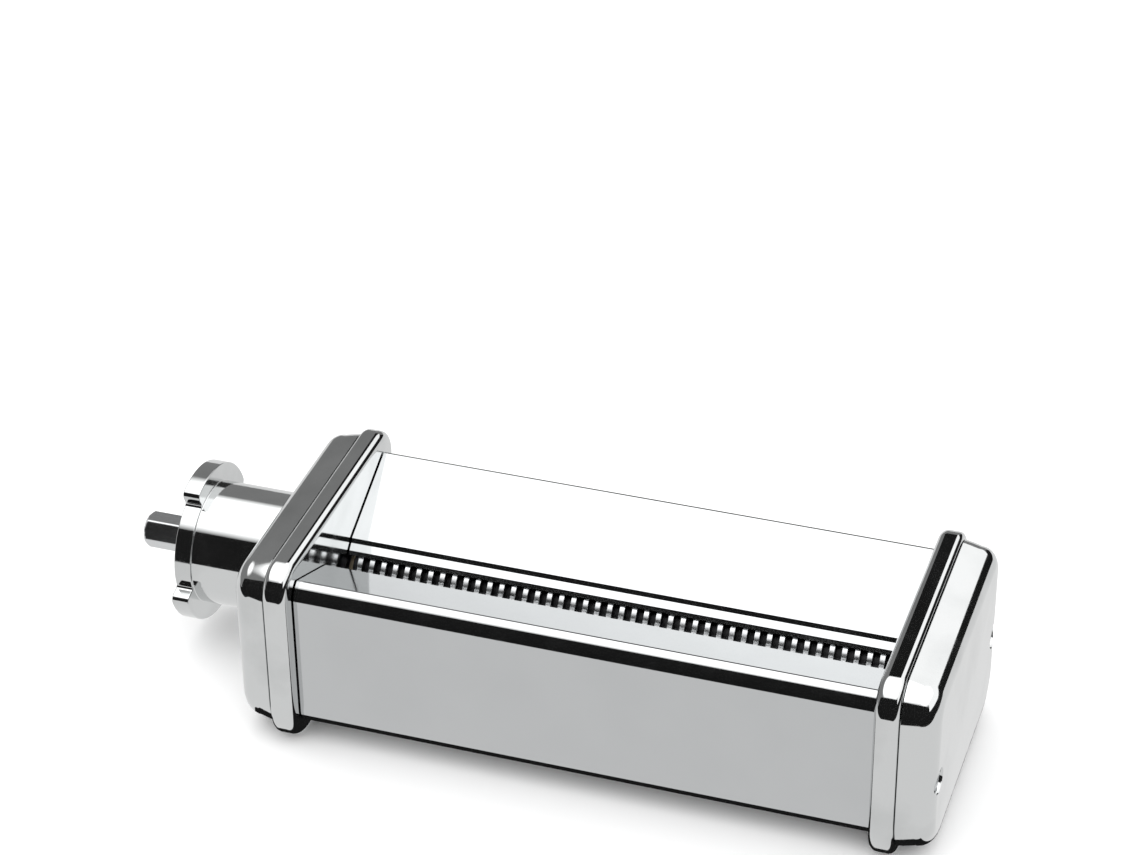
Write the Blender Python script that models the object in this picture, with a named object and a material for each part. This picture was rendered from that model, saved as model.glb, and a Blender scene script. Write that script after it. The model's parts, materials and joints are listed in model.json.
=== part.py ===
"""Pasta cutter attachment for a stand mixer, as an assembly of separate pieces.

A rectangular housing lies along X. Two ringed cutting rollers turn towards each other at the bottom of
a V-shaped feed trough, and combs strip the pasta from their grooves. The rear roller's shaft comes out of
a round hub at the -X end as a hexagon, which the mixer drives. Two equal gears under the hub side cover
couple the rollers.

Frame: metres, +Z up, +Y to the back, +X from the hub to the far end. The origin is the centre of the
bounding box in X and Y, at its lowest Z.
"""
import bmesh
import bpy
from math import acos, cos, degrees, pi, radians, sin, sqrt, tan
from mathutils import Vector

# Housing
BODY_LENGTH = 0.1385        # between the inner faces of the two end frames
BODY_DEPTH = 0.062
BODY_HEIGHT = 0.041
SHEET = 0.0008              # thickness of the casing sheet
GAP = 0.0003                # between pieces that touch
PAST = 0.001                # how far a cutter reaches past the face it opens

# End frames and covers
BAND_WIDTH = 0.006
BAND_PROUD = 0.0043         # how far the band stands out of the casing
BAND_TOP_CORNER = 0.0075
BAND_BOTTOM_CORNER = 0.0095
BAND_INNER_EDGE = 0.0021    # rounding of the band's edge towards the casing
BAND_OUTER_EDGE = 0.0016
POCKET_HALF = 0.0255        # the hollow of an end frame, outside its web
POCKET_LOW = 0.007
POCKET_HIGH = 0.043
POCKET_CORNER = 0.0048
WEB = 0.0025                # thickness of the wall that carries the bushes
COVER_DEPTH = 0.0088
COVER_PROUD = 0.0033        # at the rim, from where the flanks draw in
COVER_DRAFT = 0.0008
COVER_TOP_CORNER = 0.008
COVER_BOTTOM_CORNER = 0.0115
CORNER_SHARE = 0.9          # how fast a cover's corner radius shrinks as its outline draws in
COVER_EDGE = 0.0045         # rounding of the end face's rim
COVER_WALL = 0.002
COVER_CHAMFER = 0.003       # inside a cover, between its flank and its floor

# Trough and casing outline, as distances from the middle plane
CREASE_INSET = 0.0029       # from the casing face to the fold at the top of the slope
ROLL_RADIUS = 0.005         # rolled top edge
BOTTOM_RADIUS = 0.0045
SLOT_EDGE = (0.00327, 0.0131)   # where a slope turns down into its lip, as (y, depth below the top)
LIP_END = (0.0027, 0.014)
FRONT_BEND = (0.0114, 0.0074)   # where the front slope turns steeper
STEP_TOP = (0.0053, 0.0108)     # upper edge of the step in the rear slope
STEP_FOOT = (0.0047, 0.01183)
RETURN_HALF = 0.018         # half the width of the pasta exit between the bottom returns

# Rollers
ROLLER_Z = 0.0231
AXIS_HALF = 0.0092          # half the distance between the roller axes
RING_PITCH = 0.003
RING_WIDTH = 0.0013
RING_RADIUS = 0.0094
GROOVE_RADIUS = 0.0072
REAR_RINGS = 45
FRONT_RINGS = 46
ROLLER_SEGMENTS = 10
ROLLER_END_GAP = 0.001
SHAFT_RADIUS = 0.004
CLEARANCE = 0.0001          # running clearance between a shaft and its bush
SHAFT_SEGMENTS = 12
BUSH_SEGMENTS = 16
BUSH_RADIUS = 0.006
BUSH_FLANGE = 0.0072
BUSH_FLANGE_WIDTH = 0.0008
BUSH_SPACER = 0.0005        # how far a bush's sleeve stands into the housing
SHAFT_END = 0.0008          # length of a shaft beyond its last clip groove
CLIP_RADIUS = 0.006
TURNED_DOWN = 0.95          # share of the shaft radius kept beside a clip groove
CLIP_GROOVE = 0.0008        # depth of a retaining clip's groove

# Hub
BARREL_LENGTH = 0.0272      # from the flange's outer face to the cover
BARREL_RADIUS = 0.0152
FLANGE_WIDTH = 0.0043
FLANGE_RADIUS = 0.0157
LUG_RADIUS = 0.0197
LUG_MIDDLE = 65             # degrees from +Y towards +Z, of the upper lug
LUG_SPAN = 98               # degrees that a lug covers
LUG_END = 9                 # degrees over which a lug's end rises
HUB_SEGMENTS = 40
SEAT_SEGMENTS = 20
BORE_RADIUS = 0.0063
JOURNAL_RADIUS = 0.0049
SEAT_RADIUS = 0.0083         # the bush's seat at the barrel's mouth
SEAT_DEPTH = 0.0095
BARREL_SCREW_DEPTH = 0.011
SHAFT_HOLE = 0.007           # in the hub side cover
JOURNAL_LENGTH = 0.0105
HEX_PROUD = 0.0137
HEX_FLATS = 0.008
HEX_CHAMFER = 0.0009
HEX_TIP_RATIO = 0.8          # flats at the chamfered tip over full flats

# Gears
TEETH = 14
GEAR_WIDTH = 0.005
GEAR_STAND_OFF = 0.0016     # from the hub side web to the gears, past the bush flange
TOOTH_TOP = 0.8             # modules from the pitch circle to a tooth's tip, and to its root
TOOTH_ROOT = 1.15
BACKLASH = 0.06             # modules taken off each half of a tooth
PRESSURE_ANGLE = 20
GEAR_HEX_FLATS = 0.007

# Tie rods, combs and screws
TIE_ROD_RADIUS = 0.0025
TIE_ROD_Y = 0.0205
TIE_ROD_Z = 0.036
COMB_ROD_RADIUS = 0.002
COMB_ROD_Y = 0.0175
COMB_THICKNESS = 0.0007
COMB_BELOW_AXIS = 0.00845   # from the roller axis down to the comb's upper face
COMB_FINGER = 0.0009
COMB_ROOT = 0.0054          # the fingers run from this far behind the roller axis
COMB_REACH = 0.0046         # to this far in front of it
COMB_BACK = 0.0058          # width of the strip behind the fingers
COMB_END_GAP = 0.001
COVER_SCREW_Y = 0.0282
COVER_SCREW_Z = 0.0228
SCREW_SHANK = 0.0014
SCREW_HOLE = 0.0017
SCREW_HOLE_DEPTH = 0.005
SCREW_HEAD = 0.0026
SCREW_HEAD_HEIGHT = 0.0014
SCREW_GRIP = 0.0045         # how far a cover screw goes into its frame
BARREL_SCREW_LENGTH = 0.0135
ROD_HEAD = 0.003
NUT_WIDTH = 0.0028
ROD_TAIL = 0.0007           # how far a rod comes out of its nut
ROD_HEAD_RATIO = 1.6        # head radius over rod radius
WELL_RADIUS = 0.003
BOSS_RADIUS = 0.0036
WELL_DEPTH = 0.0025
BARREL_SCREW_CIRCLE = 0.0108

# Places worked out from the sizes above
TOTAL_LENGTH = HEX_PROUD + BARREL_LENGTH + 2 * (COVER_DEPTH + BAND_WIDTH) + BODY_LENGTH
TIP_X = -TOTAL_LENGTH / 2
FLANGE_X = TIP_X + HEX_PROUD
HUB_COVER_X = FLANGE_X + BARREL_LENGTH
HUB_BAND_X = HUB_COVER_X + COVER_DEPTH
HUB_WALL_X = HUB_BAND_X + BAND_WIDTH
FAR_WALL_X = HUB_WALL_X + BODY_LENGTH
FAR_BAND_X = FAR_WALL_X + BAND_WIDTH
MIDDLE_X = (HUB_WALL_X + FAR_WALL_X) / 2
BODY_BOTTOM = BAND_PROUD
BODY_TOP = BODY_BOTTOM + BODY_HEIGHT
BODY_HALF = BODY_DEPTH / 2
GEAR_X = HUB_WALL_X - WEB - GEAR_STAND_OFF
CLIP_X = GEAR_X - GEAR_WIDTH - GAP
CLIP_WIDTH = 0.0008
FAR_CLIP_GAP = 0.0014       # from the far web to the shaft's clip groove, past the bush flange
COMB_TOP = ROLLER_Z - COMB_BELOW_AXIS
COMB_ROD_Z = COMB_TOP - COMB_THICKNESS - GAP - COMB_ROD_RADIUS
MODULE = 2 * AXIS_HALF / TEETH

CHROME = ("chrome", (0.80, 0.81, 0.82), 0.08)
STEEL = ("polished_steel", (0.66, 0.67, 0.68), 0.22)
CAST = ("chromed_casting", (0.76, 0.77, 0.78), 0.12)
BRONZE = ("bronze", (0.62, 0.45, 0.24), 0.35)
ZINC = ("zinc_plated_steel", (0.55, 0.56, 0.58), 0.3)


def clear_scene():
    for item in list(bpy.data.objects):
        bpy.data.objects.remove(item, do_unlink=True)


def material(finish):
    name, colour, roughness = finish
    found = bpy.data.materials.get(name)
    if found:
        return found
    made = bpy.data.materials.new(name)
    made.use_nodes = True
    shader = made.node_tree.nodes["Principled BSDF"]
    shader.inputs["Base Color"].default_value = (*colour, 1)
    shader.inputs["Roughness"].default_value = roughness
    shader.inputs["Metallic"].default_value = 1
    return made


def add_object(name, mesh_data, finish, origin=(0, 0, 0)):
    """Turn a bmesh in world places into an object whose origin is at the given point."""
    centre = Vector(origin)
    bmesh.ops.translate(mesh_data, verts=mesh_data.verts, vec=-centre)
    bmesh.ops.recalc_face_normals(mesh_data, faces=mesh_data.faces)
    mesh = bpy.data.meshes.new(name)
    mesh_data.to_mesh(mesh)
    mesh_data.free()
    mesh.materials.append(material(finish))
    mesh.shade_smooth()
    mesh.set_sharp_from_angle(angle=radians(30))
    piece = bpy.data.objects.new(name, mesh)
    piece.location = centre
    bpy.context.scene.collection.objects.link(piece)
    return piece


def add_guide(name, mesh_data):
    """A shape that only cuts or joins: it is hidden from renders and drawn as wire."""
    guide = add_object(name, mesh_data, STEEL)
    guide.hide_render = True
    guide.display_type = "WIRE"
    return guide


def combine(piece, guide, operation):
    boolean = piece.modifiers.new(guide.name, "BOOLEAN")
    boolean.operation = operation
    boolean.object = guide
    boolean.solver = "EXACT"


# Outlines are lists of (y, z) points, counter-clockwise seen from +X.

def circle(radius, count, y=0.0, z=0.0, turn=0.0):
    steps = [turn + 2 * pi * k / count for k in range(count)]
    return [(y + radius * cos(a), z + radius * sin(a)) for a in steps]


def hexagon(flats, count, y, z):
    """A hexagon with flats at its top and bottom. The count of points is a multiple of 12."""
    points = []
    for k in range(count):
        angle = 2 * pi * k / count
        from_flat = (angle + pi / 6) % (pi / 3) - pi / 6
        radius = flats / 2 / cos(from_flat)
        points.append((y + radius * cos(angle + pi / 2), z + radius * sin(angle + pi / 2)))
    return points


def rounded_rectangle(half_y, low_z, high_z, top_radius, bottom_radius, steps=4):
    corners = [(half_y - top_radius, high_z - top_radius, top_radius, 0),
               (top_radius - half_y, high_z - top_radius, top_radius, 90),
               (bottom_radius - half_y, low_z + bottom_radius, bottom_radius, 180),
               (half_y - bottom_radius, low_z + bottom_radius, bottom_radius, 270)]
    points = []
    for y, z, radius, start in corners:
        for k in range(steps + 1):
            angle = radians(start + 90 * k / steps)
            points.append((y + radius * cos(angle), z + radius * sin(angle)))
    return points


def loft(sections, closed=False):
    """Join sections (x, outline) of equal point counts. A closed loft runs back to its start."""
    made = bmesh.new()
    rings = [[made.verts.new((x, y, z)) for y, z in outline] for x, outline in sections]
    pairs = list(zip(rings, rings[1:]))
    if closed:
        pairs.append((rings[-1], rings[0]))
    for first, second in pairs:
        count = len(first)
        for k in range(count):
            after = (k + 1) % count
            made.faces.new((first[k], first[after], second[after], second[k]))
    if not closed:
        made.faces.new(rings[0])
        made.faces.new(rings[-1])
    return made


def turned(profile, count, y, z, bore=None):
    """A solid turned about the X line through (y, z). The profile is a list of (x, radius)."""
    sections = [(x, circle(radius, count, y, z)) for x, radius in profile]
    if bore is None:
        return loft(sections)
    first_x, last_x = profile[0][0], profile[-1][0]
    inner = [(last_x, circle(bore, count, y, z)), (first_x, circle(bore, count, y, z))]
    return loft(sections + inner, closed=True)


def merge(parts):
    """Put several separate shapes into one bmesh."""
    whole = bmesh.new()
    for part in parts:
        mesh = bpy.data.meshes.new("temporary")
        part.to_mesh(mesh)
        part.free()
        whole.from_mesh(mesh)
        bpy.data.meshes.remove(mesh)
    return whole


def arc(y, z, radius, start, end, steps):
    """Points of an arc between two angles in degrees, from +Y towards +Z."""
    angles = [radians(start + (end - start) * k / steps) for k in range(steps + 1)]
    return [(y + radius * cos(a), z + radius * sin(a)) for a in angles]


# Casing

def casing_path(side):
    """A casing's outer line: return, face, rolled edge, fold, trough slope, lip. side is -1 at the front."""
    low = BODY_BOTTOM + BOTTOM_RADIUS
    high = BODY_TOP - ROLL_RADIUS
    roll_end = degrees(acos(1 - CREASE_INSET / ROLL_RADIUS))
    path = [(RETURN_HALF, BODY_BOTTOM)]
    path += arc(BODY_HALF - BOTTOM_RADIUS, low, BOTTOM_RADIUS, -90, 0, 4)
    path += arc(BODY_HALF - ROLL_RADIUS, high, ROLL_RADIUS, 0, roll_end, 4)
    slope = ([STEP_TOP, STEP_FOOT] if side > 0 else [FRONT_BEND]) + [SLOT_EDGE, LIP_END]
    return path + [(y, BODY_TOP - depth) for y, depth in slope]


def thickened(path, thickness):
    """Close an open path into an outline, with its inner side at the given distance."""
    inner = []
    for k, point in enumerate(path):
        before = path[max(k - 1, 0)]
        after = path[min(k + 1, len(path) - 1)]
        first = Vector((point[0] - before[0], point[1] - before[1]))
        second = Vector((after[0] - point[0], after[1] - point[1]))
        first = (first if first.length else second).normalized()
        second = (second if second.length else first).normalized()
        normal = Vector((-first.y - second.y, first.x + second.x)).normalized()
        reach = thickness / max(normal.dot(Vector((-first.y, first.x))), 0.3)
        inner.append((point[0] + normal.x * reach, point[1] + normal.y * reach))
    return path + inner[::-1]


def make_casing(name, side):
    outline = thickened(casing_path(side), SHEET)
    outline = [(side * y, z) for y, z in outline]
    panel = loft([(HUB_WALL_X + GAP, outline), (FAR_WALL_X - GAP, outline)])
    add_object(name, panel, CHROME)


# End frames and covers

def band_outline(inset):
    return rounded_rectangle(BODY_HALF + BAND_PROUD - inset, inset, BODY_TOP + BAND_PROUD - inset,
                             BAND_TOP_CORNER - inset, BAND_BOTTOM_CORNER - inset)


def frame_holes(side, wall_x, band_x):
    """Cutters for the bush seats, the tie rods and the cover screws of one end frame."""
    through = sorted((wall_x - side * PAST, wall_x + side * (WEB + PAST)))
    blind = sorted((band_x - side * SCREW_HOLE_DEPTH, band_x + side * PAST))
    cutters = []
    for place in (-1, 1):
        holes = [(through, BUSH_RADIUS + GAP, BUSH_SEGMENTS, AXIS_HALF, ROLLER_Z),
                 (through, TIE_ROD_RADIUS + GAP, 10, TIE_ROD_Y, TIE_ROD_Z),
                 (through, COMB_ROD_RADIUS + GAP, 10, COMB_ROD_Y, COMB_ROD_Z),
                 (blind, SCREW_HOLE, 8, COVER_SCREW_Y, COVER_SCREW_Z)]
        for span, radius, segments, y, z in holes:
            cutters.append(turned([(x, radius) for x in span], segments, place * y, z))
    return merge(cutters)


def make_frame(name, side, wall_x, band_x):
    """An end frame: a band round a web. side is -1 at the hub and 1 at the far end."""
    web_x = wall_x + side * WEB
    sections = []
    for edge_x, inwards, radius in ((wall_x, side, BAND_INNER_EDGE), (band_x, -side, BAND_OUTER_EDGE)):
        rounding = []
        for step in range(4):
            angle = pi / 2 * step / 3
            rounding.append((edge_x + inwards * radius * (1 - cos(angle)),
                             band_outline(radius * (1 - sin(angle)))))
        sections += rounding if inwards == side else rounding[::-1]
    pocket = rounded_rectangle(POCKET_HALF, POCKET_LOW, POCKET_HIGH, POCKET_CORNER, POCKET_CORNER)
    sections += [(band_x, pocket), (web_x, pocket)]
    frame = add_object(name, loft(sections), CAST)
    combine(frame, add_guide(name + "_holes", frame_holes(side, wall_x, band_x)), "DIFFERENCE")


def cover_outline(inset):
    return rounded_rectangle(BODY_HALF + COVER_PROUD - inset, BODY_BOTTOM - COVER_PROUD + inset,
                             BODY_TOP + COVER_PROUD - inset, COVER_TOP_CORNER - inset * CORNER_SHARE,
                             COVER_BOTTOM_CORNER - inset * CORNER_SHARE)


def make_cover(name, side, band_x):
    """An end cover: a hollow cap, open towards its frame, with two screw bosses."""
    rim_x = band_x + side * GAP
    end_x = band_x + side * COVER_DEPTH
    floor_x = end_x - side * COVER_WALL
    sections = [(floor_x, cover_outline(COVER_WALL + COVER_CHAMFER)),
                (floor_x - side * COVER_CHAMFER, cover_outline(COVER_WALL)),
                (rim_x, cover_outline(COVER_WALL)), (rim_x, cover_outline(0))]
    for step in range(4):
        angle = pi / 2 * step / 3
        inset = COVER_DRAFT + COVER_EDGE * (1 - cos(angle))
        sections.append((end_x - side * COVER_EDGE * (1 - sin(angle)), cover_outline(inset)))
    cover = add_object(name, loft(sections), CAST)
    bosses = []
    holes = []
    wells = []
    boss_span = sorted((rim_x, end_x - side * COVER_WALL / 2))
    hole_span = sorted((rim_x - side * PAST, end_x + side * PAST))
    well_span = sorted((end_x - side * WELL_DEPTH, end_x + side * PAST))
    for y in (-COVER_SCREW_Y, COVER_SCREW_Y):
        bosses.append(turned([(x, BOSS_RADIUS) for x in boss_span], 10, y, COVER_SCREW_Z))
        holes.append(turned([(x, SCREW_HOLE) for x in hole_span], 8, y, COVER_SCREW_Z))
        wells.append(turned([(x, WELL_RADIUS) for x in well_span], 12, y, COVER_SCREW_Z))
    combine(cover, add_guide(name + "_bosses", merge(bosses)), "UNION")
    combine(cover, add_guide(name + "_screw_holes", merge(holes)), "DIFFERENCE")
    combine(cover, add_guide(name + "_wells", merge(wells)), "DIFFERENCE")
    return cover


def barrel_screw_places():
    """Three screws on a circle about the hub's axis."""
    angles = [radians(90 + 120 * k) for k in range(3)]
    return [(AXIS_HALF + BARREL_SCREW_CIRCLE * cos(a), ROLLER_Z + BARREL_SCREW_CIRCLE * sin(a))
            for a in angles]


def make_hub_cover():
    cover = make_cover("hub_side_cover", -1, HUB_BAND_X)
    span = (HUB_COVER_X - PAST, HUB_COVER_X + COVER_WALL + PAST)
    cutters = [turned([(x, SHAFT_HOLE) for x in span], 20, AXIS_HALF, ROLLER_Z)]
    for y, z in barrel_screw_places():
        cutters.append(turned([(x, SCREW_HOLE) for x in span], 8, y, z))
    combine(cover, add_guide("hub_side_cover_shaft_hole", merge(cutters)), "DIFFERENCE")


# Hub

def lug_outline(count):
    """The flange seen from its end: a disc with two opposite lugs with rounded ends."""
    points = []
    for k in range(count):
        angle = 360 * k / count
        off = min(abs((angle - LUG_MIDDLE - turn + 180) % 360 - 180) for turn in (0, 180))
        rise = min(max((LUG_SPAN / 2 - off) / LUG_END, 0), 1)
        radius = FLANGE_RADIUS + (LUG_RADIUS - FLANGE_RADIUS) * sqrt(1 - (1 - rise) ** 2)
        points.append((AXIS_HALF + radius * cos(radians(angle)), ROLLER_Z + radius * sin(radians(angle))))
    return points


def make_hub():
    """The barrel: a sleeve with the lugged flange, and a bush for the drive shaft at its mouth."""
    rear_x = HUB_COVER_X - GAP
    seat_x = FLANGE_X + SEAT_DEPTH
    lugs = lug_outline(HUB_SEGMENTS)
    round_part = [(FLANGE_X + FLANGE_WIDTH, BARREL_RADIUS), (rear_x, BARREL_RADIUS),
                  (rear_x, BORE_RADIUS), (seat_x, BORE_RADIUS), (seat_x, SEAT_RADIUS),
                  (FLANGE_X, SEAT_RADIUS)]
    sections = [(FLANGE_X, lugs), (FLANGE_X + FLANGE_WIDTH, lugs)]
    sections += [(x, circle(radius, HUB_SEGMENTS, AXIS_HALF, ROLLER_Z)) for x, radius in round_part]
    barrel = add_object("hub_barrel", loft(sections, closed=True), CAST)
    holes = [turned([(rear_x - BARREL_SCREW_DEPTH, SCREW_HOLE), (rear_x + PAST, SCREW_HOLE)], 8, y, z)
             for y, z in barrel_screw_places()]
    combine(barrel, add_guide("hub_barrel_screw_holes", merge(holes)), "DIFFERENCE")
    outer = SEAT_RADIUS - GAP
    bush = turned([(FLANGE_X + GAP, outer), (seat_x - GAP, outer)], SEAT_SEGMENTS,
                  AXIS_HALF, ROLLER_Z, bore=(JOURNAL_RADIUS + CLEARANCE) / cos(pi / SEAT_SEGMENTS))
    add_object("hub_shaft_bush", bush, BRONZE)


# Screws, rods and bushes

def make_screw(name, head_x, direction, length, y, z):
    """A screw whose head's outer face is at head_x. Its shank runs in the given X direction."""
    seat_x = head_x + direction * SCREW_HEAD_HEIGHT
    profile = [(head_x, SCREW_HEAD), (seat_x, SCREW_HEAD), (seat_x, SCREW_SHANK),
               (head_x + direction * length, SCREW_SHANK)]
    add_object(name, turned(profile, 10, y, z), ZINC)


def make_screws():
    length = COVER_DEPTH - WELL_DEPTH + SCREW_HEAD_HEIGHT + SCREW_GRIP
    for end, side, band_x in (("hub_side", -1, HUB_BAND_X), ("far_side", 1, FAR_BAND_X)):
        head_x = band_x + side * (COVER_DEPTH - WELL_DEPTH + GAP + SCREW_HEAD_HEIGHT)
        for place, y in (("front", -COVER_SCREW_Y), ("rear", COVER_SCREW_Y)):
            make_screw(f"{end}_cover_screw_{place}", head_x, -side, length, y, COVER_SCREW_Z)
    for number, (y, z) in enumerate(barrel_screw_places(), start=1):
        head_x = HUB_COVER_X + COVER_WALL + GAP + SCREW_HEAD_HEIGHT
        make_screw(f"hub_barrel_screw_{number}", head_x, -1, BARREL_SCREW_LENGTH, y, z)


def make_rods():
    """Tie rods with a head outside the far web and a nut outside the hub side web."""
    head_x = FAR_WALL_X + WEB + GAP
    nut_x = HUB_WALL_X - WEB - GAP
    rods = [("front_tie_rod", -TIE_ROD_Y, TIE_ROD_Z, TIE_ROD_RADIUS),
            ("rear_tie_rod", TIE_ROD_Y, TIE_ROD_Z, TIE_ROD_RADIUS),
            ("front_comb_rod", -COMB_ROD_Y, COMB_ROD_Z, COMB_ROD_RADIUS),
            ("rear_comb_rod", COMB_ROD_Y, COMB_ROD_Z, COMB_ROD_RADIUS)]
    for name, y, z, radius in rods:
        wide = radius * ROD_HEAD_RATIO
        profile = [(head_x + ROD_HEAD, wide), (head_x, wide), (head_x, radius),
                   (nut_x - NUT_WIDTH - ROD_TAIL, radius)]
        add_object(name, turned(profile, 10, y, z), ZINC)
        outside = hexagon(2 * wide * cos(pi / 6), 12, y, z)
        inside = circle((radius + GAP) / cos(pi / 12), 12, y, z, turn=pi / 2)
        nut_end = nut_x - NUT_WIDTH
        nut = loft([(nut_x, outside), (nut_end, outside), (nut_end, inside), (nut_x, inside)], closed=True)
        add_object(name + "_nut", nut, ZINC)


def make_bushes():
    """Flanged bushes: the flange is outside the web and the sleeve's end spaces the roller."""
    for end, side, wall_x in (("hub_side", -1, HUB_WALL_X), ("far_side", 1, FAR_WALL_X)):
        flange_x = wall_x + side * (WEB + GAP)
        for place, y in (("front", -AXIS_HALF), ("rear", AXIS_HALF)):
            profile = [(wall_x - side * BUSH_SPACER, BUSH_RADIUS), (flange_x, BUSH_RADIUS),
                       (flange_x, BUSH_FLANGE), (flange_x + side * BUSH_FLANGE_WIDTH, BUSH_FLANGE)]
            bore = (SHAFT_RADIUS + CLEARANCE) / cos(pi / BUSH_SEGMENTS)
            bush = turned(profile, BUSH_SEGMENTS, y, ROLLER_Z, bore=bore)
            add_object(f"{end}_{place}_bush", bush, BRONZE)


# Combs

def make_comb(name, side):
    """A strip with one finger for each groove of its roller. side is -1 at the front."""
    rings = FRONT_RINGS if side < 0 else REAR_RINGS
    root_y = AXIS_HALF + COMB_ROOT
    tip_y = AXIS_HALF - COMB_REACH
    back_y = root_y + COMB_BACK
    start = MIDDLE_X - (rings / 2 - 1) * RING_PITCH
    outline = [(HUB_WALL_X + COMB_END_GAP, back_y), (HUB_WALL_X + COMB_END_GAP, root_y)]
    for k in range(rings - 1):
        middle = start + k * RING_PITCH
        left, right = middle - COMB_FINGER / 2, middle + COMB_FINGER / 2
        outline += [(left, root_y), (left, tip_y), (right, tip_y), (right, root_y)]
    outline += [(FAR_WALL_X - COMB_END_GAP, root_y), (FAR_WALL_X - COMB_END_GAP, back_y)]
    made = bmesh.new()
    face = made.faces.new([made.verts.new((x, side * y, COMB_TOP)) for x, y in outline])
    grown = bmesh.ops.extrude_face_region(made, geom=[face])
    lower = [item for item in grown["geom"] if isinstance(item, bmesh.types.BMVert)]
    bmesh.ops.translate(made, verts=lower, vec=(0, 0, -COMB_THICKNESS))
    add_object(name, made, STEEL)


# Rollers, shafts and gears

def make_roller(name, rings, y):
    """A cutting roller: rings that stand out of a core, about a bore for its shaft."""
    low = HUB_WALL_X + ROLLER_END_GAP
    high = FAR_WALL_X - ROLLER_END_GAP
    profile = [(low, GROOVE_RADIUS)]
    first = MIDDLE_X - (rings - 1) / 2 * RING_PITCH
    for k in range(rings):
        middle = first + k * RING_PITCH
        left, right = middle - RING_WIDTH / 2, middle + RING_WIDTH / 2
        profile += [(left, GROOVE_RADIUS), (left, RING_RADIUS), (right, RING_RADIUS), (right, GROOVE_RADIUS)]
    profile.append((high, GROOVE_RADIUS))
    roller = turned(profile, ROLLER_SEGMENTS, y, ROLLER_Z, bore=SHAFT_RADIUS + GAP)
    add_object(name, roller, STEEL, origin=(MIDDLE_X, y, ROLLER_Z))


def ring(x, radius, y):
    """A section of a shaft: a circle about the roller axis at y."""
    return x, circle(radius, SHAFT_SEGMENTS, y, ROLLER_Z, turn=pi / 2)


def hex_section(x, flats, y):
    return x, hexagon(flats, SHAFT_SEGMENTS, y, ROLLER_Z)


def shaft_sections(y):
    """A shaft from the gear's retaining clip to the far clip."""
    hex_end = GEAR_X - GEAR_WIDTH
    hub_groove = CLIP_X - CLIP_WIDTH - GAP
    far_groove = FAR_WALL_X + WEB + FAR_CLIP_GAP
    far_land = far_groove + CLIP_WIDTH + 2 * GAP
    groove = SHAFT_RADIUS - CLIP_GROOVE
    turned_down = SHAFT_RADIUS * TURNED_DOWN
    return [ring(hub_groove, turned_down, y), ring(hub_groove, groove, y), ring(hex_end, groove, y),
            hex_section(hex_end, GEAR_HEX_FLATS, y), hex_section(GEAR_X + GAP, GEAR_HEX_FLATS, y),
            ring(GEAR_X + GAP, SHAFT_RADIUS, y), ring(far_groove, SHAFT_RADIUS, y),
            ring(far_groove, groove, y), ring(far_land, groove, y), ring(far_land, turned_down, y),
            ring(far_land + SHAFT_END, turned_down, y)]


def make_shafts():
    """The drive shaft carries the rear roller and ends in the drive hexagon."""
    y = AXIS_HALF
    turned_down = SHAFT_RADIUS * TURNED_DOWN
    journal_x = FLANGE_X + GAP
    journal_end = FLANGE_X + JOURNAL_LENGTH
    drive_end = [hex_section(TIP_X, HEX_FLATS * HEX_TIP_RATIO, y),
                 hex_section(TIP_X + HEX_CHAMFER, HEX_FLATS, y),
                 hex_section(journal_x, HEX_FLATS, y), ring(journal_x, JOURNAL_RADIUS, y),
                 ring(journal_end, JOURNAL_RADIUS, y), ring(journal_end, turned_down, y)]
    add_object("drive_shaft", loft(drive_end + shaft_sections(y)), STEEL, origin=(MIDDLE_X, y, ROLLER_Z))
    y = -AXIS_HALF
    plain_end = [ring(CLIP_X - CLIP_WIDTH - GAP - SHAFT_END, turned_down, y)]
    add_object("front_roller_shaft", loft(plain_end + shaft_sections(y)), STEEL,
               origin=(MIDDLE_X, y, ROLLER_Z))


def involute_flank(pitch_radius, tip_radius, steps):
    """(radius, half angle) of a tooth's flank from its base to its tip, with backlash."""
    pressure = radians(PRESSURE_ANGLE)
    base = pitch_radius * cos(pressure)
    half_tooth = pi / 2 / TEETH - BACKLASH * MODULE / pitch_radius
    offset = half_tooth + tan(pressure) - pressure
    points = []
    for k in range(steps + 1):
        radius = base + (tip_radius - base) * k / steps
        unwound = sqrt(max((radius / base) ** 2 - 1, 0))
        points.append((radius, offset - (unwound - acos(min(base / radius, 1)))))
    return points


def gear_outline(y, turn):
    pitch_radius = MODULE * TEETH / 2
    root = pitch_radius - TOOTH_ROOT * MODULE
    flank = involute_flank(pitch_radius, pitch_radius + TOOTH_TOP * MODULE, 3)
    points = []
    for tooth in range(TEETH):
        middle = turn + 2 * pi * tooth / TEETH
        rising = [(root, flank[0][1])] + flank
        points += [(radius, middle - angle) for radius, angle in rising]
        points += [(radius, middle + angle) for radius, angle in rising[::-1]]
    return [(y + radius * cos(angle), ROLLER_Z + radius * sin(angle)) for radius, angle in points]


def make_gear(name, y, turn):
    outline = gear_outline(y, turn)
    gear = add_object(name, loft([(GEAR_X - GEAR_WIDTH, outline), (GEAR_X, outline)]), STEEL,
                      origin=(MIDDLE_X, y, ROLLER_Z))
    bore = hexagon(GEAR_HEX_FLATS + 2 * GAP, 12, y, ROLLER_Z)
    cutter = loft([(GEAR_X - GEAR_WIDTH - PAST, bore), (GEAR_X + PAST, bore)])
    combine(gear, add_guide(name + "_bore", cutter), "DIFFERENCE")


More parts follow.
